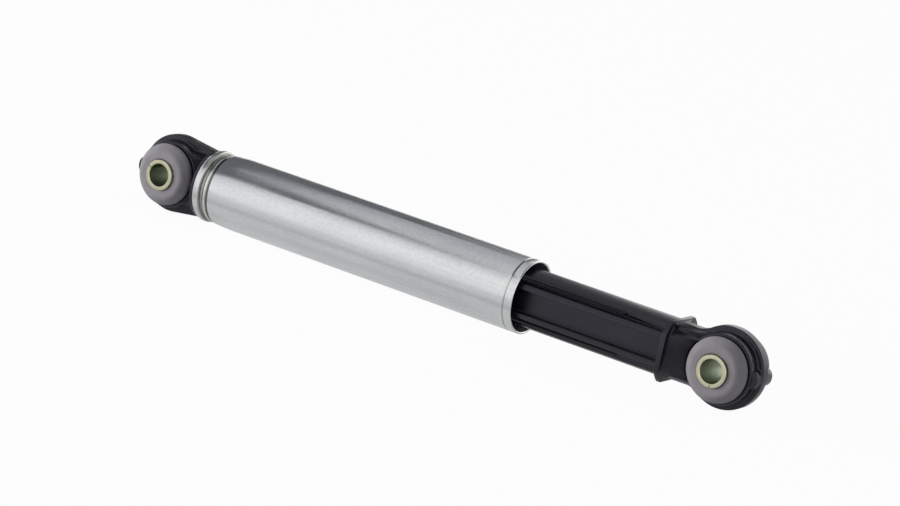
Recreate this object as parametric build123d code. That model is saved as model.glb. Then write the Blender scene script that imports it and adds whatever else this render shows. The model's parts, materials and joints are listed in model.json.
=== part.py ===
from build123d import *
from math import sqrt
import os

# Friction damper of a washing machine, in millimetres
# X runs along the damper from the tube eye to the plunger eye, Y along both pins, Z up
# The origin is the centre of the tube eye's bore

# Whole damper
pin_spacing = 227.25
running_gap = 0.05
seat_gap = 0.05
lining_gap = 0.08

# Steel sleeves that take the pins
sleeve_bore_radius = 4.05
sleeve_wall = 1.5
sleeve_length = 24.2
sleeve_chamfer = 0.35
seam_gap = 0.25
tube_seam_angle = 154
plunger_seam_angle = -83

# Rubber bushes
bush_neck_radius = 8.3
bush_flange_radius = 11.3
bush_root_radius = 10.7
bush_face_radius = 8.7
bush_flange_reach = 8.2
bush_face_reach = 11.15
bush_edge = 0.8
bush_root_gap = 0.1

# Eyes of both mouldings
eye_width = 13.0
eye_side_radius = 12.0
eye_band_radius = 14.0
eye_band_width = 4.0
eye_corner = 0.6
moulding_width = 11.4
lug_reach = 13.9
lug_height = 6.4
lug_round = 2.9

# Steel tube, with places measured along it from its crimped end
tube_start = 15.85
tube_length = 134.8
tube_radius = 13.0
tube_wall = 0.8
lip_depth = 0.35
lip_rise = 1.0
lip_width = 2.35
crimp_slope = 0.6
crimp_depth = 1.15
crimp_width = 0.9
ring_depth = 0.5
ring_width = 1.0
shoulder_groove_depth = 0.95
shoulder_groove_width = 0.4
shoulder_depth = 0.45
shoulder_length = 5.6
bead_from_mouth = 3.3
bead_depth = 0.25
bead_width = 0.8
tube_corner = 0.25
tube_edge = 0.2

# Arm, base disc and plug of the tube eye
base_inset = 0.55
base_thickness = 1.3
arm_end_inset = 0.25
arm_core_radius = 10.5
plug_length = 12.2
plug_wall = 3.0
plug_core_depth = 9.0

# Ribbed rod of the plunger
rod_radius = 10.2
panel_height = 8.0
panel_web = 12.6
groove_start = 5.9
groove_end = 8.4
groove_web = 10.6
thin_rib_start = 7.1
thin_rib_thickness = 0.6
thin_rib_from_collar = 17.5
channel_corner = 0.3
mark_radius = 0.7
mark_height = 0.25
mark_from_collar = 15.6

# Collar and neck beside the plunger eye, with places measured from the eye's centre
collar_from_eye = 18.85
collar_thickness = 1.9
collar_radius = 12.9
collar_width = 22.6
collar_height = 21.0
collar_corner = 0.3
neck_radius = 9.9
neck_width = 17.0
neck_blend = 8.0
blend_sink = 0.15
bush_pocket_gap = 0.6

# Piston inside the tube, with places measured from the tube eye's centre
piston_end = 85.0
end_cap_width = 6.0
lining_width = 17.0
lining_side_gap = 0.3
lining_thickness = 2.82
lining_split = 0.8
lining_split_angle = 20
guide_width = 5.0
piston_gap = 0.1
piston_chamfer = 0.4
spigot_radius = 6.0
snap_head_radius = 6.6
snap_head_length = 1.2
snap_slot = 1.6

# Sizes that follow from the driving ones
sleeve_radius = sleeve_bore_radius + sleeve_wall
tube_bore_radius = tube_radius - tube_wall
base_radius = tube_radius - base_inset
arm_end_radius = base_radius - arm_end_inset
plug_core_radius = tube_bore_radius - crimp_depth - seat_gap - plug_wall
mouth = tube_start + tube_length
piston_radius = tube_bore_radius - piston_gap
lining_core_radius = tube_bore_radius - lining_thickness - lining_gap
neck_length = collar_from_eye
collar_start = pin_spacing - collar_from_eye - collar_thickness
lining_start = piston_end + end_cap_width
guide_start = lining_start + lining_width + 2 * lining_side_gap
rod_start = guide_start + guide_width
plug_end = tube_start + plug_length


def turned_about_x(points, corner=0):
    """Solid of revolution about the damper's axis, under an outline of (place, radius) points."""
    outline = FilletPolyline(*points, radius=corner) if corner else Polyline(*points)
    (first, _), (last, _) = points[0], points[-1]
    closing = Polyline(points[-1], (last, 0), (first, 0), points[0])
    return revolve(make_face(outline + closing), Axis.X)


def turned_about_pin(points, corner=0):
    """Solid of revolution about a pin's axis, inside a closed outline of (radius, place) points."""
    loop = list(points) + [points[0]]
    outline = make_face(Polyline(*loop))
    if corner:
        outline = fillet(outline.vertices(), corner)
    return revolve(outline, Axis.Y)


def pin_cylinder(radius, width):
    """Cylinder along a pin, centred on the damper's axis."""
    return Rot(X=90) * Cylinder(radius, width)


def upright(face, width):
    """Plate of a width along the pins, with its outline drawn in the X and Z directions."""
    return extrude(Plane.XZ * face, width / 2, both=True)


def rounded_plate(outline, width):
    """Upright plate with both its rims rounded."""
    plate = upright(outline, width)
    rims = [e for e in plate.edges() if abs(e.center().Y) > width / 2 - seat_gap]
    return fillet(rims, eye_corner)


def eye_ring():
    """Eye of a moulding: a wide ring with a taller band round its middle and a lug at its end."""
    inner, side, band = sleeve_radius, eye_side_radius, eye_band_radius
    half, band_half = eye_width / 2, eye_band_width / 2
    ring = turned_about_pin(
        [(inner, -half), (side, -half), (side, -band_half), (band, -band_half),
         (band, band_half), (side, band_half), (side, half), (inner, half)],
        eye_corner,
    )
    lug_face = fillet(
        (Pos(-lug_reach / 2, 0) * Rectangle(lug_reach, lug_height)).vertices().sort_by(Axis.X)[:2],
        lug_round,
    )
    return ring + rounded_plate(lug_face, moulding_width)


def round_form(outline):
    """Round body with a given outline seen from the side, turned about the damper's axis."""
    span = 4 * pin_spacing
    return revolve(outline & (Pos(0, span / 2) * Rectangle(span, span)), Axis.X)


def bush_pocket():
    """Space round both flanges of a bush, outside the width of the eye."""
    radius = bush_flange_radius + bush_pocket_gap
    return pin_cylinder(radius, 4 * eye_width) - pin_cylinder(2 * radius, eye_width)


def bush():
    """Rubber bush: a neck through the eye's hole and a domed flange on each side."""
    root = eye_width / 2 + bush_root_gap
    bore = sleeve_radius + running_gap
    neck = bush_neck_radius - seat_gap
    half = [
        (neck, root), (bush_root_radius, root), (bush_flange_radius, bush_flange_reach),
        (bush_face_radius, bush_face_reach), (bore, bush_face_reach),
    ]
    mirrored = [(radius, -place) for radius, place in reversed(half)]
    outline = make_face(Polyline(*half, *mirrored, half[0]))
    rims = [v for v in outline.vertices() if v.X > bush_face_radius - running_gap]
    rims = [v for v in rims if abs(v.Y) > root + seat_gap]
    return revolve(fillet(rims, bush_edge), Axis.Y)


def sleeve(seam_angle):
    """Rolled steel sleeve with chamfered ends and an open seam along its length."""
    half, chamfer = sleeve_length / 2, sleeve_chamfer
    ring = turned_about_pin(
        [(sleeve_bore_radius, -half + chamfer), (sleeve_bore_radius + chamfer, -half),
         (sleeve_radius - chamfer, -half), (sleeve_radius, -half + chamfer),
         (sleeve_radius, half - chamfer), (sleeve_radius - chamfer, half),
         (sleeve_bore_radius + chamfer, half), (sleeve_bore_radius, half - chamfer)]
    )
    seam = Pos(sleeve_radius, 0, 0) * Box(2 * sleeve_radius, sleeve_length, seam_gap)
    return ring - Rot(Y=-seam_angle) * seam


def tube_points(offset, length_past_ends=0):
    """Outline of the tube's wall at an offset from its outside: lip, crimps, shoulder and mouth bead."""
    lip_end = tube_start + lip_width
    crimp_start = lip_end + crimp_slope
    crimp_end = crimp_start + crimp_width
    ring_start = crimp_end + crimp_slope
    ring_end = ring_start + ring_width
    groove_from = ring_end + crimp_slope
    groove_to = groove_from + shoulder_groove_width
    shoulder_start = groove_to + crimp_slope
    bead = mouth - bead_from_mouth
    depths = [
        (tube_start - length_past_ends, lip_depth), (tube_start + lip_rise, 0), (lip_end, 0),
        (crimp_start, crimp_depth), (crimp_end, crimp_depth),
        (ring_start, ring_depth), (ring_end, ring_depth),
        (groove_from, shoulder_groove_depth), (groove_to, shoulder_groove_depth),
        (shoulder_start, shoulder_depth), (shoulder_start + shoulder_length, 0),
        (bead - bead_width, 0), (bead, bead_depth), (bead + bead_width, 0),
        (mouth + length_past_ends, 0),
    ]
    return [(place, tube_radius - depth + offset) for place, depth in depths]


def tube():
    """Drawn steel tube, crimped onto the plug at one end and open at the other."""
    outside = turned_about_x(tube_points(0), tube_corner)
    inside = turned_about_x(tube_points(-tube_wall, tube_wall), tube_corner)
    wall = outside - inside
    ends = wall.faces().filter_by(Axis.X)
    return fillet(ends.edges(), tube_edge)


def plug():
    """Plug in the tube's end: it fills the crimps and is cored from behind."""
    filled = turned_about_x(tube_points(-tube_wall - seat_gap), tube_corner)
    kept = Pos((tube_start + plug_end) / 2, 0, 0) * Box(plug_length, 4 * tube_radius, 4 * tube_radius)
    core = Pos(plug_end - plug_core_depth / 2, 0, 0) * Rot(Y=90) * Cylinder(plug_core_radius, plug_core_depth)
    return (filled & kept) - core


def arm():
    """Arm from the tube eye to its base: a round core with flat sides, and the band run on above and below."""
    end = tube_start - base_thickness
    bar = Line((end, -arm_end_radius), (end, arm_end_radius))
    outline = make_hull(Circle(eye_band_radius).edges() + bar.edges())
    core = Pos(end / 2, 0, 0) * Rot(Y=90) * Cylinder(arm_core_radius, end)
    flats = Pos(end / 2, 0, 0) * Box(end, moulding_width, 2 * arm_core_radius)
    return rounded_plate(outline, eye_band_width) + (core & flats)


def tube_eye():
    """Moulded eye of the tube: ring, ribbed arm, base disc and plug in one piece."""
    base = turned_about_x([(tube_start - base_thickness, base_radius), (tube_start, base_radius)])
    hole = pin_cylinder(bush_neck_radius, 2 * eye_width)
    return (arm() + base - bush_pocket()) + eye_ring() - hole + plug()


def rod_section():
    """Section of the rod: a round bar with a wide panel and two ribbed grooves on each side."""
    section = Circle(rod_radius)
    beyond = 2 * rod_radius
    for side in (-1, 1):
        panel = Pos(side * (panel_web / 2 + beyond / 2), 0) * Rectangle(beyond, panel_height)
        section -= panel
        for level in (-1, 1):
            middle, height = (groove_start + groove_end) / 2, groove_end - groove_start
            groove = Rectangle(beyond, height)
            section -= Pos(side * (groove_web / 2 + beyond / 2), level * middle) * groove
    corners = [v for v in section.vertices() if abs(v.Y) < groove_end - channel_corner]
    return fillet(corners, channel_corner)


def thin_ribs():
    """Section of the thin ribs that stand in the rod's grooves."""
    middle = thin_rib_start + thin_rib_thickness / 2
    ribs = Pos(0, middle) * Rectangle(2 * rod_radius, thin_rib_thickness)
    ribs += Pos(0, -middle) * Rectangle(2 * rod_radius, thin_rib_thickness)
    return ribs & Circle(rod_radius)


def ejector_mark():
    """Small round pip on the floor of a groove, between the thin rib's end and the collar."""
    level = (groove_start + groove_end) / 2
    height = 2 * mark_height
    pip = Rot(X=90) * Cylinder(mark_radius, height)
    return Pos(collar_start - mark_from_collar, -groove_web / 2, level) * pip


def rod():
    """Ribbed rod from the piston's guide to the collar, with a round ejector mark."""
    across = Plane((rod_start, 0, 0), x_dir=(0, 1, 0), z_dir=(1, 0, 0))
    length = collar_start - rod_start
    bar = extrude(across * rod_section(), length)
    ribs = extrude(across * thin_ribs(), length - thin_rib_from_collar)
    return bar + ribs + ejector_mark()


def neck_outline(eye_radius):
    """Side outline of the neck and the eye at one radius, with the corners between them blended."""
    half = neck_radius - blend_sink
    outline = Pos(-neck_length / 2, 0) * Rectangle(neck_length, 2 * half) + Circle(eye_radius)
    corner = -sqrt(eye_radius**2 - half**2)
    return fillet([v for v in outline.vertices() if abs(v.X - corner) < seat_gap], neck_blend)


def neck():
    """Neck from the collar into the plunger eye, round with flat sides, and flared into ring and band."""
    middle = Box(4 * neck_length, moulding_width, 4 * neck_radius)
    flare = round_form(neck_outline(eye_side_radius)) & middle
    band = rounded_plate(neck_outline(eye_band_radius), eye_band_width)
    place = Pos(-neck_length / 2, 0, 0)
    bar = place * Rot(Y=90) * Cylinder(neck_radius, neck_length)
    flats = place * Box(neck_length, neck_width, 4 * neck_radius)
    return flare + band + (bar & flats) - bush_pocket()


def collar():
    """Stop collar that meets the tube's mouth: a disc with four flats and rounded edges."""
    across = Plane((collar_start, 0, 0), x_dir=(0, 1, 0), z_dir=(1, 0, 0))
    outline = Circle(collar_radius) & Rectangle(collar_width, collar_height)
    disc = extrude(across * outline, collar_thickness)
    return fillet(disc.edges().filter_by(Axis.X, reverse=True), collar_corner)


def plunger():
    """Plunger moulded in one piece: snap head, lining seat, guide, ribbed rod, collar, neck and eye."""
    core = turned_about_x([
        (piston_end - snap_head_length, spigot_radius), (piston_end - seat_gap, snap_head_radius),
        (piston_end - seat_gap, spigot_radius), (lining_start, spigot_radius),
        (lining_start, lining_core_radius), (guide_start, lining_core_radius),
        (guide_start, piston_radius - piston_chamfer), (guide_start + piston_chamfer, piston_radius),
        (rod_start - piston_chamfer, piston_radius), (rod_start, piston_radius - piston_chamfer),
    ])
    slot = Pos(piston_end, 0, 0) * Box(2 * end_cap_width, 4 * spigot_radius, snap_slot)
    eye = Pos(pin_spacing, 0, 0) * (neck() + Rot(Z=180) * eye_ring())
    hole = Pos(pin_spacing, 0, 0) * pin_cylinder(bush_neck_radius, 2 * eye_width)
    return (core - slot) + rod() + collar() + (eye - hole)


def piston_end_cap():
    """Cap that snaps onto the plunger's end and holds the lining in its seat."""
    end = piston_end + end_cap_width
    ring = turned_about_x([
        (piston_end, piston_radius - piston_chamfer), (piston_end + piston_chamfer, piston_radius),
        (end - seat_gap - piston_chamfer, piston_radius), (end - seat_gap, piston_radius - piston_chamfer),
    ])
    bore = Pos(piston_end, 0, 0) * Rot(Y=90) * Cylinder(spigot_radius + seat_gap, 4 * end_cap_width)
    return ring - bore


def friction_lining():
    """Greased foam strip, bent round the plunger into a split ring."""
    start = lining_start + lining_side_gap
    middle = start + lining_width / 2
    ring = Rot(Y=90) * Cylinder(tube_bore_radius - lining_gap, lining_width)
    ring -= Rot(Y=90) * Cylinder(lining_core_radius + lining_gap, lining_width)
    split = Pos(0, 0, tube_radius) * Rot(Z=lining_split_angle) * Box(2 * lining_width, lining_split, 2 * tube_radius)
    return Pos(middle, 0, 0) * (ring - split)


def at_plunger_eye(shape):
    """Copy of a piece placed in the plunger eye."""
    return Pos(pin_spacing, 0, 0) * shape


os.makedirs("parts", exist_ok=True)
pieces = {
    "tube": tube(),
    "tube_eye": tube_eye(),
    "tube_eye_bush": bush(),
    "tube_eye_sleeve": sleeve(tube_seam_angle),
    "plunger": plunger(),
    "piston_end_cap": piston_end_cap(),
    "friction_lining": friction_lining(),
    "plunger_eye_bush": at_plunger_eye(bush()),
    "plunger_eye_sleeve": at_plunger_eye(sleeve(plunger_seam_angle)),
}
for name, shape in pieces.items():
    export_step(shape, f"parts/{name}.step")
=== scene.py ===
"""Friction damper of a washing machine, dressed for a studio picture, in the frame of its CAD."""
import bmesh
import bpy
import json
from math import cos, hypot, radians, sin
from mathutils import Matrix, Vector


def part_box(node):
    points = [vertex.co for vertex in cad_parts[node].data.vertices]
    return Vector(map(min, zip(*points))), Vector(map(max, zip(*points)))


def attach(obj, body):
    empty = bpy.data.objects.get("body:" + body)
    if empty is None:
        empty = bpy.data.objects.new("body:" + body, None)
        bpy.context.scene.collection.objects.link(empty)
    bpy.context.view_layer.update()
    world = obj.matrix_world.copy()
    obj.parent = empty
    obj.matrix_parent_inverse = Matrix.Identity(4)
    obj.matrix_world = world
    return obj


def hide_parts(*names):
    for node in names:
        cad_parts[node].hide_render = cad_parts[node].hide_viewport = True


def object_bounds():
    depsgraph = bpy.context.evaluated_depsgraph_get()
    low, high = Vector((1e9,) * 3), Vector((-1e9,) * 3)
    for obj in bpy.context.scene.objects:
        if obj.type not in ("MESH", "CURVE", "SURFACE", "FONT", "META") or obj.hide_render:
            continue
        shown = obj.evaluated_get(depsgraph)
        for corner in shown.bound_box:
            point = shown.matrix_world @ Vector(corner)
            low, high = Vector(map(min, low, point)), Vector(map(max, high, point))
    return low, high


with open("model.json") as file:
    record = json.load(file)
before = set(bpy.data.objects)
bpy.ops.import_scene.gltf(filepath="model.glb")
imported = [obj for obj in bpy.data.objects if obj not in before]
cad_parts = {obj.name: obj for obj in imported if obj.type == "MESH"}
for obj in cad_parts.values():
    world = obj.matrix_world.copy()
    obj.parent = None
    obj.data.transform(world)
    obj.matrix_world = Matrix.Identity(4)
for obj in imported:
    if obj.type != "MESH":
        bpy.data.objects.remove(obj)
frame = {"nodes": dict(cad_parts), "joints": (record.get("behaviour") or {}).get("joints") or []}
cad_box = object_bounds()

MM = 0.001


def in_mm(metres):
    """Millimetres, to a hundredth, from metres of the frame."""
    return round(metres / MM, 2)


# Sizes in millimetres that the CAD gives
tube_low, tube_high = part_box("tube")
TUBE_START = in_mm(tube_low[0])
TUBE_MOUTH = in_mm(tube_high[0])
TUBE_RADIUS = in_mm(tube_high[1])

sleeve_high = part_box("tube_eye_sleeve")[1]
SLEEVE_RADIUS = in_mm(sleeve_high[0])
SLEEVE_HALF_LENGTH = in_mm(sleeve_high[1])
BUSH_FACE = in_mm(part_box("tube_eye_bush")[1][1])

pins = {joint["name"]: joint["pos_m"][0] for joint in frame["joints"] if "pos_m" in joint}
PIN_SPACING = in_mm(pins["plunger_sleeve_turn"])
FLOOR_HEIGHT = in_mm(cad_box[0][2])

# Sizes in millimetres of the rolled crimps and the bead, measured inwards from the tube's barrel
TUBE_WALL = 0.8
LIP_DROP = 0.35
CRIMP_DEPTH = 1.15
RING_DEPTH = 0.5
NARROW_CRIMP_DEPTH = 1.1
SHOULDER_DROP = 0.35
BEAD_DEPTH = 0.22
BEAD_HALF_WIDTH = 0.35
BEAD_BEHIND_MOUTH = 3.3

# The tube's flattened weld: its angle from the top round the front, and where it fades, in millimetres
WELD_ANGLE = 102
WELD_HALF_WIDTH = 0.2
WELD_FADE = 1.3

# Sizes in millimetres of the sleeves and the bushes, and the angles of the sleeves' open seams
SLEEVE_BORE = 4.05
SLEEVE_END_ROUND = 0.35
SLEEVE_SEAM_GAP = 0.25
TUBE_EYE_SEAM = 154
PLUNGER_EYE_SEAM = -83

BUSH_BORE = 5.6
BUSH_NECK = 8.25
BORE_BEVEL_WIDTH = 0.4
BORE_BEVEL_DEPTH = 0.3
FLANGE_START = 6.6
FLANGE_START_RADIUS = 10.7
FLANGE_WIDEST = 8.2
FLANGE_RADIUS = 11.3
FLANGE_FACE_RADIUS = 8.7

# Meshes: their steps, how near doubles lie in millimetres, over how many degrees an edge stays sharp, and
# how squarely a face looks at its piece's axis to count as its inside
STEPS_ROUND = 192
STEPS_IN_A_CORNER = 6
MERGE_DISTANCE = 0.002
SHARP_WHEN_TURNED = 40
SHARP_WHEN_MOULDED = 32
LOOKS_INWARDS = 0.9

# Finishes, in millimetres: how round the mouldings' edges look, and how far out of a crimp its creamier tint
# and painted shade reach
EDGE_ROUND = 0.35
CRIMP_SHADE_REACH = 3.0

# Camera, with its lens and sensor in millimetres, its place in metres and its turn in degrees
LENS = 140.19
SENSOR = 36
CAMERA_PLACE = (0.69172, -1.01671, 0.27098)
CAMERA_TURN = (76.904, -11.9072, 32.2611)

# Studio, in metres
FLOOR_REACH = 4.0
STUDIO_LEFT = -1.4
STUDIO_RIGHT = 1.5
OVERHEAD_HEIGHT = 0.7
OVERHEAD_FRONT = -1.0
OVERHEAD_RIGHT_FRONT = -0.42
OVERHEAD_BACK = 0.52
GREY_FROM = 0.3
DARK_FROM = 0.2
FLAG_HEIGHT = 0.68
FLAG_BACK = 0.65
BACK_DISTANCE = 0.9
KEY_PLACE = (-1.15, -0.9, 0.15)
KEY_TURN = (85, 0, -54)
KEY_LENGTH = 1.2
KEY_WIDTH = 0.3

# Light: watts of the key softbox, strength of the room, the floor's shares of plain white, and where in
# front of the damper, in metres, the mirrored share begins and ends to change
KEY_POWER = 27
ROOM_LIGHT = 0.42
FLOOR_WHITE = 0.96
FLOOR_MIRRORED_NEAR = 0.36
FLOOR_MIRRORED_FAR = 0.85
NEAR_EDGE = -0.03
FAR_EDGE = -0.14


def add(tree, kind, inputs=(), **settings):
    """Add a node with its settings. Each input is given a number, a colour or the socket it follows."""
    made = tree.nodes.new(kind)
    for name, value in settings.items():
        setattr(made, name, value)
    for key, value in dict(inputs).items():
        if isinstance(value, bpy.types.NodeSocket):
            tree.links.new(value, made.inputs[key])
        else:
            made.inputs[key].default_value = value
    return made


def colour(hex_code):
    """Linear colour with full alpha, from an sRGB hex value."""
    parts = [int(hex_code[i:i + 2], 16) / 255 for i in (1, 3, 5)]
    return (*[p / 12.92 if p <= 0.04045 else ((p + 0.055) / 1.055) ** 2.4 for p in parts], 1)


def clean_tree(owner):
    """Emptied node tree of a material or a world."""
    owner.use_nodes = True
    owner.node_tree.nodes.clear()
    return owner.node_tree


def tinted(tree, shade, tint, pattern, start=0.3, end=0.7, most=1.0):
    """Shade that takes on a tint, up to the given share, while a pattern goes from start to end."""
    share = add(tree, "ShaderNodeMapRange", {
        "Value": pattern, "From Min": start, "From Max": end, "To Max": most})
    mix = add(tree, "ShaderNodeMix", {0: share.outputs[0], 6: shade, 7: colour(tint)}, data_type="RGBA")
    return mix.outputs[2]


# Camera, floor and light

def aim_camera():
    """Long lens from the front right, a little above the damper, rolled as the photographer held it."""
    lens = bpy.data.cameras.new("camera")
    lens.lens = LENS
    lens.sensor_width = SENSOR
    camera = bpy.data.objects.new("camera", lens)
    camera.location = CAMERA_PLACE
    camera.rotation_euler = [radians(angle) for angle in CAMERA_TURN]
    bpy.context.scene.collection.objects.link(camera)
    bpy.context.scene.camera = camera


def white_share(tree, seen, mirrored):
    """Share of plain white for the camera and for metal and glass. The light on the object has none."""
    path = add(tree, "ShaderNodeLightPath").outputs
    camera = add(tree, "ShaderNodeMath", {0: path["Is Camera Ray"], 1: seen}, operation="MULTIPLY")
    either = add(tree, "ShaderNodeMath", {0: path["Is Glossy Ray"], 1: path["Is Transmission Ray"]},
                 operation="MAXIMUM")
    mirror = add(tree, "ShaderNodeMath", {0: either.outputs[0], 1: mirrored}, operation="MULTIPLY")
    share = add(tree, "ShaderNodeMath", {0: camera.outputs[0], 1: mirror.outputs[0]}, operation="MAXIMUM")
    return share.outputs[0]


def white_room():
    """World of plain soft light, white where it is seen or mirrored."""
    world = bpy.data.worlds.new("white room")
    bpy.context.scene.world = world
    tree = clean_tree(world)
    light = add(tree, "ShaderNodeBackground", {"Color": colour("#FFFFFF"), "Strength": ROOM_LIGHT})
    white = add(tree, "ShaderNodeBackground", {"Color": colour("#FFFFFF"), "Strength": 1.0})
    both = add(tree, "ShaderNodeMixShader", {
        0: white_share(tree, 1, 1), 1: light.outputs[0], 2: white.outputs[0]})
    add(tree, "ShaderNodeOutputWorld", {"Surface": both.outputs[0]})


def floor_paper():
    """Matt white paper that turns almost plain white to the camera, and keeps a faint shadow."""
    sheet = bpy.data.materials.new("white floor paper")
    tree = clean_tree(sheet)
    matt = add(tree, "ShaderNodeBsdfDiffuse", {"Color": colour("#F4F4F4")})
    white = add(tree, "ShaderNodeEmission", {"Color": colour("#FFFFFF"), "Strength": 1.0})
    # The damper mirrors greyer paper close by, where its own shade lies, and whiter paper farther in front
    place = add(tree, "ShaderNodeTexCoord")
    distance = add(tree, "ShaderNodeSeparateXYZ", {0: place.outputs["Object"]}).outputs["Y"]
    mirrored = add(tree, "ShaderNodeMapRange", {
        "Value": distance, "From Min": NEAR_EDGE, "From Max": FAR_EDGE,
        "To Min": FLOOR_MIRRORED_NEAR, "To Max": FLOOR_MIRRORED_FAR})
    both = add(tree, "ShaderNodeMixShader", {
        0: white_share(tree, FLOOR_WHITE, mirrored.outputs[0]), 1: matt.outputs[0], 2: white.outputs[0]})
    add(tree, "ShaderNodeOutputMaterial", {"Surface": both.outputs[0]})
    return sheet


def glowing(name, first, last=None, along="Y", start=0.0, end=1.0, strength=1.0):
    """Panel material that shows its own colour in any light, and may change to another along one axis."""
    panel = bpy.data.materials.new(name)
    tree = clean_tree(panel)
    tone = colour(first)
    if last:
        place = add(tree, "ShaderNodeTexCoord")
        distance = add(tree, "ShaderNodeSeparateXYZ", {0: place.outputs["Object"]}).outputs[along]
        tone = tinted(tree, tone, last, distance, start, end)
    glow = add(tree, "ShaderNodeEmission", {"Color": tone, "Strength": strength})
    add(tree, "ShaderNodeOutputMaterial", {"Surface": glow.outputs[0]})
    return panel


def studio_sheet(name, corners, material):
    """Flat sheet of the studio between its corners, in metres."""
    mesh = bpy.data.meshes.new(name)
    mesh.from_pydata(corners, [], [range(len(corners))])
    mesh.materials.append(material)
    sheet = bpy.data.objects.new(name, mesh)
    bpy.context.scene.collection.objects.link(sheet)
    return sheet


def rectangle(left, right, near, far):
    """Outline of a rectangle, as (x, y) points."""
    return [(left, near), (right, near), (right, far), (left, far)]


def lying(height, outline):
    """Corners of a level sheet, from (x, y) points."""
    return [(x, y, height) for x, y in outline]


def standing(outline):
    """Corners of a sheet upright behind the damper, from (x, z) points."""
    return [(x, BACK_DISTANCE, z) for x, z in outline]


def set_studio():
    """Pale floor, and panels that only the metal and the plastic mirror."""
    floor = rectangle(-FLOOR_REACH, FLOOR_REACH, -FLOOR_REACH, FLOOR_REACH)
    studio_sheet("floor", lying(FLOOR_HEIGHT * MM, floor), floor_paper())

    # The tube mirrors each panel as a stripe along its length. Outlines slant or bend so that the stripes
    # start, end and widen where the photograph shows it
    left_half = rectangle(STUDIO_LEFT, 0.0, OVERHEAD_FRONT, OVERHEAD_BACK)
    right_half = rectangle(0.0, STUDIO_RIGHT, OVERHEAD_RIGHT_FRONT, OVERHEAD_BACK)
    grey_behind = [(STUDIO_LEFT, 0.14), (-0.27, 0.14), (-0.31, 0.5), (-0.42, 0.8), (-0.59, 1.27),
                   (STUDIO_LEFT, 1.27)]
    strip_behind = [(-0.26, 0.05), (0.7, 0.05), (0.7, 0.75), (-0.30, 0.75)]
    flag_front = [(STUDIO_LEFT, -0.50), (-0.44, -0.48), (-0.36, -0.47), (-0.31, -0.46), (-0.25, -0.43)]
    flag_right = [(-0.25, -0.41), (-0.31, -0.30), (-0.35, -0.16), (-0.38, 0.02), (-0.38, FLAG_BACK)]
    flag = flag_front + flag_right + [(STUDIO_LEFT, FLAG_BACK)]
    panels = [
        studio_sheet("overhead_panel", lying(OVERHEAD_HEIGHT, left_half),
                     glowing("overhead panel, grey towards the back", "#F4F5F5", "#B4B7BA",
                             along="Y", start=OVERHEAD_FRONT, end=GREY_FROM)),
        studio_sheet("overhead_right", lying(OVERHEAD_HEIGHT, right_half),
                     glowing("panel that darkens to the right", "#B4B7BA", "#55595C",
                             along="X", start=0.0, end=DARK_FROM)),
        studio_sheet("panel_behind", standing(grey_behind), glowing("grey panel behind", "#686A6C")),
        studio_sheet("rim_light", standing(strip_behind),
                     glowing("strip light behind", "#FFFFFF", strength=1.7)),
        studio_sheet("flag", lying(FLAG_HEIGHT, flag), glowing("narrow dark flag", "#64686C")),
    ]
    for panel in panels:
        panel.visible_camera = False
        panel.visible_diffuse = False
        panel.visible_shadow = False

    key = bpy.data.lights.new("key softbox", "AREA")
    key.shape = "RECTANGLE"
    key.size = KEY_LENGTH
    key.size_y = KEY_WIDTH
    key.energy = KEY_POWER
    lamp = bpy.data.objects.new("key softbox", key)
    lamp.location = KEY_PLACE
    lamp.rotation_euler = [radians(angle) for angle in KEY_TURN]
    lamp.visible_glossy = False
    bpy.context.scene.collection.objects.link(lamp)


# Finishes

def begin(name):
    """New material with its shader, and the place on the object in millimetres."""
    finish = bpy.data.materials.new(name)
    tree = clean_tree(finish)
    shader = add(tree, "ShaderNodeBsdfPrincipled")
    add(tree, "ShaderNodeOutputMaterial", {"Surface": shader.outputs[0]})
    spot = add(tree, "ShaderNodeTexCoord")
    place = add(tree, "ShaderNodeVectorMath", {0: spot.outputs["Object"], "Scale": 1 / MM},
                operation="SCALE")
    return finish, tree, shader, place.outputs[0]


def blotches(tree, place, width, length=None, detail=2.0):
    """Noise whose blotches are about so many millimetres wide, and so many long along the damper."""
    scale = (1 / (length or width), 1 / width, 1 / width)
    drawn = add(tree, "ShaderNodeMapping", {"Vector": place, "Scale": scale})
    cloudy = add(tree, "ShaderNodeTexNoise", {"Vector": drawn.outputs[0], "Scale": 1.0, "Detail": detail})
    return cloudy.outputs["Fac"]


def cover(tree, shader, tone, shades, gloss, roughness, start=0.3, end=0.7):
    """Let the colour follow one pattern between two shades, and the roughness another."""
    shade = tinted(tree, colour(shades[0]), shades[1], tone, start, end)
    rough = add(tree, "ShaderNodeMapRange", {
        "Value": gloss, "From Min": start, "From Max": end, "To Min": roughness[0], "To Max": roughness[1]})
    tree.links.new(shade, shader.inputs["Base Color"])
    tree.links.new(rough.outputs[0], shader.inputs["Roughness"])


def emboss(tree, shader, layers, normal=None):
    """Lay reliefs one over the other, each a pattern with its strength and its depth in millimetres."""
    for height, strength, depth in layers:
        relief = add(tree, "ShaderNodeBump", {
            "Height": height, "Strength": strength, "Distance": depth * MM})
        if normal:
            tree.links.new(normal, relief.inputs["Normal"])
        normal = relief.outputs[0]
    tree.links.new(normal, shader.inputs["Normal"])


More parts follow.
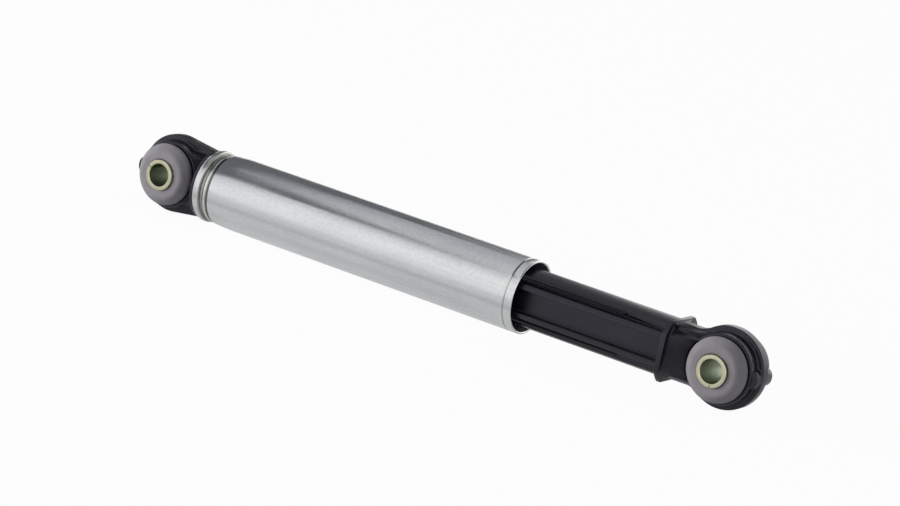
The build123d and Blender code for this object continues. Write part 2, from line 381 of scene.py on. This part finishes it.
def weld_line(tree, place):
    """Soft mask of the tube's flattened weld, a straight line low on its front."""
    turn = radians(WELD_ANGLE)
    outward = (0, -sin(turn), cos(turn))
    across = (0, -cos(turn), -sin(turn))
    aside = add(tree, "ShaderNodeVectorMath", {0: place, 1: across}, operation="DOT_PRODUCT")
    gap = add(tree, "ShaderNodeMath", {0: aside.outputs["Value"]}, operation="ABSOLUTE")
    near = add(tree, "ShaderNodeMapRange", {
        "Value": gap.outputs[0], "From Min": WELD_FADE, "From Max": WELD_HALF_WIDTH})
    front = add(tree, "ShaderNodeVectorMath", {0: place, 1: outward}, operation="DOT_PRODUCT")
    on_front = add(tree, "ShaderNodeMath", {0: front.outputs["Value"], 1: 0.0}, operation="GREATER_THAN")
    mask = add(tree, "ShaderNodeMath", {0: near.outputs[0], 1: on_front.outputs[0]}, operation="MULTIPLY")
    return mask.outputs[0]


def zinc_plated_steel():
    """Drawn steel tube, bright zinc plated: mirrors softly, with fine draw lines, cloudy patches and painted
    shade in its crimps.
    """
    finish, tree, shader, place = begin("drawn zinc-plated steel")
    shader.inputs["Metallic"].default_value = 1.0
    clouds = blotches(tree, place, width=9.0, length=27.0, detail=3.0)
    wide_lines = blotches(tree, place, width=2.4, length=120.0)
    speckle = blotches(tree, place, width=0.8, length=1.28, detail=3.0)
    waves = blotches(tree, place, width=7.0, length=35.0)
    mottle = blotches(tree, place, width=2.2, length=4.4, detail=3.0)
    # The real draw lines are under a tenth of a millimetre wide, and are drawn coarser so that they show
    lines = blotches(tree, place, width=0.5, length=30.0)

    shade = tinted(tree, colour("#E2E3E4"), "#D9DCDE", clouds)
    shade = tinted(tree, shade, "#C1C4C7", wide_lines, 0.5, 0.75, most=0.35)
    shade = tinted(tree, shade, "#B9BCC0", speckle, 0.4, 0.75, most=0.3)
    shade = tinted(tree, shade, "#B3B6B9", weld_line(tree, place), 0, 1, most=0.4)
    # The crimps turn creamier, and deeper in they take a painted shade, as far as they are enclosed
    recess = add(tree, "ShaderNodeAmbientOcclusion", {"Distance": CRIMP_SHADE_REACH * MM}, samples=8,
                 only_local=True)
    shade = tinted(tree, shade, "#C9C6B6", recess.outputs["AO"], 0.98, 0.8, most=0.8)
    # Painted shade: the most enclosed spots of the crimps turn dark grey
    shade = tinted(tree, shade, "#3A3A3C", recess.outputs["AO"], 0.97, 0.6)
    tree.links.new(shade, shader.inputs["Base Color"])

    cloudy = add(tree, "ShaderNodeMapRange", {
        "Value": clouds, "From Min": 0.3, "From Max": 0.7, "To Min": 0.15, "To Max": 0.25})
    lined = add(tree, "ShaderNodeMapRange", {
        "Value": lines, "From Min": 0.3, "From Max": 0.7, "To Min": -0.03, "To Max": 0.05})
    rough = add(tree, "ShaderNodeMath", {0: cloudy.outputs[0], 1: lined.outputs[0]}, operation="ADD")
    tree.links.new(rough.outputs[0], shader.inputs["Roughness"])
    emboss(tree, shader, [(waves, 0.5, 0.06), (mottle, 1.0, 0.009), (lines, 0.35, 0.004)])
    return finish


def greased_steel():
    """Inside of the drawn tube: plain steel under a film of grease, so it mirrors only softly."""
    finish, tree, shader, place = begin("greased inside of drawn steel")
    shader.inputs["Metallic"].default_value = 1.0
    film = blotches(tree, place, width=5.0, length=10.0, detail=3.0)
    cover(tree, shader, tone=film, shades=("#B4B7BE", "#9FA2AA"), gloss=film, roughness=(0.55, 0.7))
    emboss(tree, shader, [(film, 0.3, 0.1)])
    return finish


def yellow_zinc_steel():
    """Rolled steel, zinc plated and yellow passivated: a pale greenish gold that shifts over the surface."""
    finish, tree, shader, place = begin("yellow-passivated zinc steel")
    shader.inputs["Metallic"].default_value = 1.0
    tint = blotches(tree, place, width=3.0)
    # Rolling marks, coarser than the real ones so that they show
    marks = blotches(tree, place, width=0.25)
    cover(tree, shader, tone=tint, shades=("#C8C9AE", "#D3D0B4"), gloss=marks, roughness=(0.24, 0.36))
    emboss(tree, shader, [(marks, 0.3, 0.01)])
    return finish


def oily_shaded_bore():
    """Inside of the rolled sleeves: the same steel, rougher from oil and handling, and a darker olive that is
    partly oil and partly painted shade of the bore.
    """
    finish, tree, shader, place = begin("zinc steel bore, oiled and with painted shade")
    shader.inputs["Metallic"].default_value = 1.0
    tint = blotches(tree, place, width=2.0)
    # Rolling marks, coarser than the real ones so that they show
    marks = blotches(tree, place, width=0.3)
    # The darker olive shades than outside are partly painted shade inside the bore
    cover(tree, shader, tone=tint, shades=("#919A85", "#A3AC96"), gloss=marks, roughness=(0.36, 0.48))
    emboss(tree, shader, [(marks, 0.3, 0.01)])
    return finish


def black_polyamide():
    """Glass-filled polyamide, injection moulded: satin black with a fine grain and softly rounded edges."""
    finish, tree, shader, place = begin("moulded glass-filled polyamide")
    shader.inputs["IOR"].default_value = 1.53
    shader.inputs["Specular Tint"].default_value = colour("#E6E4F5")
    flow = blotches(tree, place, width=6.0, length=18.0, detail=3.0)
    # The real grain is a few hundredths of a millimetre, and is drawn coarser so that it shows
    grain = blotches(tree, place, width=0.35)
    cover(tree, shader, tone=flow, shades=("#131318", "#1B1B21"), gloss=flow, roughness=(0.24, 0.34))
    rounded = add(tree, "ShaderNodeBevel", {"Radius": EDGE_ROUND * MM}, samples=6)
    emboss(tree, shader, [(grain, 0.3, 0.02)], rounded.outputs[0])
    return finish


def grey_rubber():
    """Moulded natural rubber: matt warm grey with a fine blasted grain and a little bloom."""
    finish, tree, shader, place = begin("moulded grey rubber")
    shader.inputs["IOR"].default_value = 1.52
    bloom = blotches(tree, place, width=4.0, detail=3.0)
    # Coarser than the real blasted grain, so that it shows
    grain = blotches(tree, place, width=0.3, detail=3.0)
    cover(tree, shader, tone=bloom, shades=("#7A777C", "#858287"), gloss=bloom, roughness=(0.62, 0.74))
    emboss(tree, shader, [(grain, 0.35, 0.03)])
    return finish


def greased_foam():
    """Open-cell polyurethane foam soaked in grease: amber, with small pores that the grease fills."""
    finish, tree, shader, place = begin("greased polyurethane foam")
    pore_spacing = 0.8
    cells = add(tree, "ShaderNodeTexVoronoi", {"Vector": place, "Scale": 1 / pore_spacing})
    pores = cells.outputs["Distance"]
    cover(tree, shader, tone=pores, shades=("#8A7848", "#B8A878"), gloss=pores, roughness=(0.25, 0.7),
          start=0.1, end=0.6)
    emboss(tree, shader, [(pores, 0.6, 0.2)])
    return finish


# Turned pieces

def turning_tree():
    """Geometry Nodes that round a section's corners, then turn it about an axis, with or without a seam."""
    tree = bpy.data.node_groups.new("turned piece", "GeometryNodeTree")
    tree.interface.new_socket("Geometry", in_out="OUTPUT", socket_type="NodeSocketGeometry")
    wanted = {"Section": "Geometry", "Path radius": "Float", "Steps round": "Int", "Steps in a corner": "Int",
              "Seam gap": "Float", "Seam angle": "Float", "Material": "Material"}
    for name, kind in wanted.items():
        tree.interface.new_socket(name, in_out="INPUT", socket_type="NodeSocket" + kind)
    given = add(tree, "NodeGroupInput").outputs

    corner = add(tree, "GeometryNodeInputNamedAttribute", {"Name": "corner"}, data_type="FLOAT")
    line = add(tree, "GeometryNodeMeshToCurve", {"Mesh": given["Section"]})
    section = add(tree, "GeometryNodeFilletCurve", {
        "Curve": line.outputs[0], "Count": given["Steps in a corner"],
        "Radius": corner.outputs["Attribute"], "Limit Radius": True}, mode="POLY")

    closed = add(tree, "GeometryNodeCurvePrimitiveCircle", {
        "Resolution": given["Steps round"], "Radius": given["Path radius"]})
    gap_angle = add(tree, "ShaderNodeMath", {0: given["Seam gap"], 1: given["Path radius"]},
                    operation="DIVIDE")
    sweep = add(tree, "ShaderNodeMath", {0: radians(360), 1: gap_angle.outputs[0]}, operation="SUBTRACT")
    turn = add(tree, "ShaderNodeMath", {0: gap_angle.outputs[0], 1: 0.5, 2: given["Seam angle"]},
               operation="MULTIPLY_ADD")
    split = add(tree, "GeometryNodeCurveArc", {
        "Resolution": given["Steps round"], "Radius": given["Path radius"],
        "Start Angle": turn.outputs[0], "Sweep Angle": sweep.outputs[0]})
    has_seam = add(tree, "FunctionNodeCompare", {0: given["Seam gap"], 1: 0.0}, data_type="FLOAT",
                   operation="GREATER_THAN")
    path = add(tree, "GeometryNodeSwitch", {
        0: has_seam.outputs[0], "False": closed.outputs[0], "True": split.outputs[0]},
        input_type="GEOMETRY")

    turned = add(tree, "GeometryNodeCurveToMesh", {
        "Curve": path.outputs[0], "Profile Curve": section.outputs[0], "Fill Caps": True})
    whole = add(tree, "GeometryNodeRealizeInstances", {"Geometry": turned.outputs[0]})
    coated = add(tree, "GeometryNodeSetMaterial", {
        "Geometry": whole.outputs[0], "Material": given["Material"]})
    add(tree, "NodeGroupOutput", {0: coated.outputs[0]})
    return tree


def turned_piece(name, section, axis, centre, material, seam_gap=0.0, seam_angle=0.0):
    """Piece turned from a section of (place, radius, corner) points in mm, about X or about a pin."""
    path_radius = sum(radius for _, radius, _ in section) / len(section)
    mesh = bpy.data.meshes.new(name + " section")
    points = [((radius - path_radius) * MM, -place * MM, 0) for place, radius, _ in section]
    count = len(points)
    mesh.from_pydata(points, [(i, (i + 1) % count) for i in range(count)], [])
    corners = mesh.attributes.new("corner", "FLOAT", "POINT")
    corners.data.foreach_set("value", [corner * MM for _, _, corner in section])
    host = bpy.data.objects.new(name + " section", mesh)
    bpy.context.scene.collection.objects.link(host)

    turning = host.modifiers.new("turned", "NODES")
    turning.node_group = turning_group
    sizes = {"Path radius": path_radius * MM, "Steps round": STEPS_ROUND,
             "Steps in a corner": STEPS_IN_A_CORNER, "Seam gap": seam_gap * MM,
             "Seam angle": seam_angle, "Material": material}
    for item in turning_group.interface.items_tree:
        if item.name in sizes:
            turning[item.identifier] = sizes[item.name]
    shape = bpy.data.meshes.new_from_object(host.evaluated_get(bpy.context.evaluated_depsgraph_get()))
    bpy.data.objects.remove(host)

    for vertex in shape.vertices:
        x, y, z = vertex.co
        vertex.co = (z, y, -x) if axis == "X" else (x, z, -y)
        vertex.co.x += centre * MM
    return finished_mesh(name, shape, material, SHARP_WHEN_TURNED)


def finished_mesh(name, mesh, material, sharp_over):
    """Object from a mesh, with doubles merged, faces outwards and smooth up to an angle in degrees."""
    shell = bmesh.new()
    shell.from_mesh(mesh)
    bmesh.ops.remove_doubles(shell, verts=shell.verts, dist=MERGE_DISTANCE * MM)
    bmesh.ops.recalc_face_normals(shell, faces=shell.faces)
    shell.to_mesh(mesh)
    shell.free()
    mesh.shade_smooth()
    mesh.set_sharp_from_angle(angle=radians(sharp_over))
    mesh.materials.clear()
    mesh.materials.append(material)
    mesh.name = name
    piece = bpy.data.objects.new(name, mesh)
    bpy.context.scene.collection.objects.link(piece)
    return piece


def merged_copy(node, material):
    """Smooth copy of a CAD node, with its loose triangles joined."""
    mesh = frame["nodes"][node].data.copy()
    return finished_mesh(node + "_moulding", mesh, material, SHARP_WHEN_MOULDED)


def line_inside(piece, axis, centre, material):
    """Give the faces that look in towards the piece's own axis another finish."""
    piece.data.materials.append(material)
    for face in piece.data.polygons:
        spot, looks = face.center, face.normal
        out, side = (spot.y, looks.y) if axis == "X" else (spot.x - centre * MM, looks.x)
        inwards = -(out * side + spot.z * looks.z) / hypot(out, spot.z)
        face.material_index = int(inwards > LOOKS_INWARDS)


def tube_section():
    """Wall of the tube, from its crimped end over the long barrel to the bead behind its mouth."""
    # A point is its distance from the tube's start, its depth below the barrel and its corner's round
    lip = [(0, LIP_DROP, 0.2), (1.0, 0, 0.8), (2.35, 0, 0.35)]
    crimp = [(2.95, CRIMP_DEPTH, 0.3), (3.85, CRIMP_DEPTH, 0.3)]
    ring = [(4.45, RING_DEPTH, 0.3), (5.3, RING_DEPTH, 0.3)]
    narrow_crimp = [(5.85, NARROW_CRIMP_DEPTH, 0.2), (6.25, NARROW_CRIMP_DEPTH, 0.15)]
    shoulder = [(6.6, SHOULDER_DROP, 0.3), (12.65, 0, 90.0)]
    length = TUBE_MOUTH - TUBE_START
    bead_place = length - BEAD_BEHIND_MOUTH
    bead = [(bead_place - BEAD_HALF_WIDTH, 0, 0.4), (bead_place, BEAD_DEPTH, 0.15),
            (bead_place + BEAD_HALF_WIDTH, 0, 0.4)]
    mouth = [(length, 0, 0.55)]

    line = lip + crimp + ring + narrow_crimp + shoulder + bead + mouth
    outside = [(TUBE_START + place, TUBE_RADIUS - depth, corner) for place, depth, corner in line]
    inside = [(place, radius - TUBE_WALL, corner) for place, radius, corner in reversed(outside)]
    return outside + inside


def bush_section():
    """Wall of a rubber bush: its bore, its neck in the eye and a domed flange on each side."""
    # A point is its distance from the middle, its radius and its corner's round
    neck = [(FLANGE_START, BUSH_NECK, 0.2)]
    dome = [(FLANGE_START, FLANGE_START_RADIUS, 0.6), (FLANGE_WIDEST, FLANGE_RADIUS, 1.6),
            (BUSH_FACE, FLANGE_FACE_RADIUS, 2.2)]
    bore = [(BUSH_FACE, BUSH_BORE + BORE_BEVEL_WIDTH, 0.2), (BUSH_FACE - BORE_BEVEL_DEPTH, BUSH_BORE, 0.2)]
    half = neck + dome + bore
    return [(-place, radius, corner) for place, radius, corner in reversed(half)] + half


def sleeve_section():
    """Wall of a rolled steel sleeve, with its ends broken by small rounds."""
    low_end = [(-SLEEVE_HALF_LENGTH, radius, SLEEVE_END_ROUND) for radius in (SLEEVE_BORE, SLEEVE_RADIUS)]
    return low_end + [(-place, radius, corner) for place, radius, corner in reversed(low_end)]


def hand_over(piece, body, node):
    """Let a piece ride on its body and stand for its CAD node."""
    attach(piece, body)
    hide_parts(node)


bpy.context.scene.view_settings.view_transform = "Standard"
aim_camera()
white_room()
set_studio()

tube_steel = zinc_plated_steel()
plastic = black_polyamide()
rubber = grey_rubber()
gold_steel = yellow_zinc_steel()
oily_shaded_bore_steel = oily_shaded_bore()
inside_steel = greased_steel()
foam = greased_foam()

turning_group = turning_tree()

drawn_tube = turned_piece("drawn_tube", tube_section(), "X", 0, tube_steel)
line_inside(drawn_tube, "X", 0, inside_steel)
hand_over(drawn_tube, "tube_body", "tube")
hand_over(merged_copy("tube_eye", plastic), "tube_body", "tube_eye")
hand_over(merged_copy("plunger", plastic), "plunger_body", "plunger")

for end, centre, seam in (("tube", 0, TUBE_EYE_SEAM), ("plunger", PIN_SPACING, PLUNGER_EYE_SEAM)):
    eye = end + "_eye"
    rubber_bush = turned_piece(eye + "_rubber", bush_section(), "Y", centre, rubber)
    hand_over(rubber_bush, end + "_body", eye + "_bush")
    steel_sleeve = turned_piece(eye + "_steel", sleeve_section(), "Y", centre, gold_steel,
                                SLEEVE_SEAM_GAP, radians(-seam))
    line_inside(steel_sleeve, "Y", centre, oily_shaded_bore_steel)
    hand_over(steel_sleeve, end + "_sleeve_body", eye + "_sleeve")

for node, finish in (("piston_end_cap", plastic), ("friction_lining", foam)):
    slots = frame["nodes"][node].data.materials
    slots.clear()
    slots.append(finish)
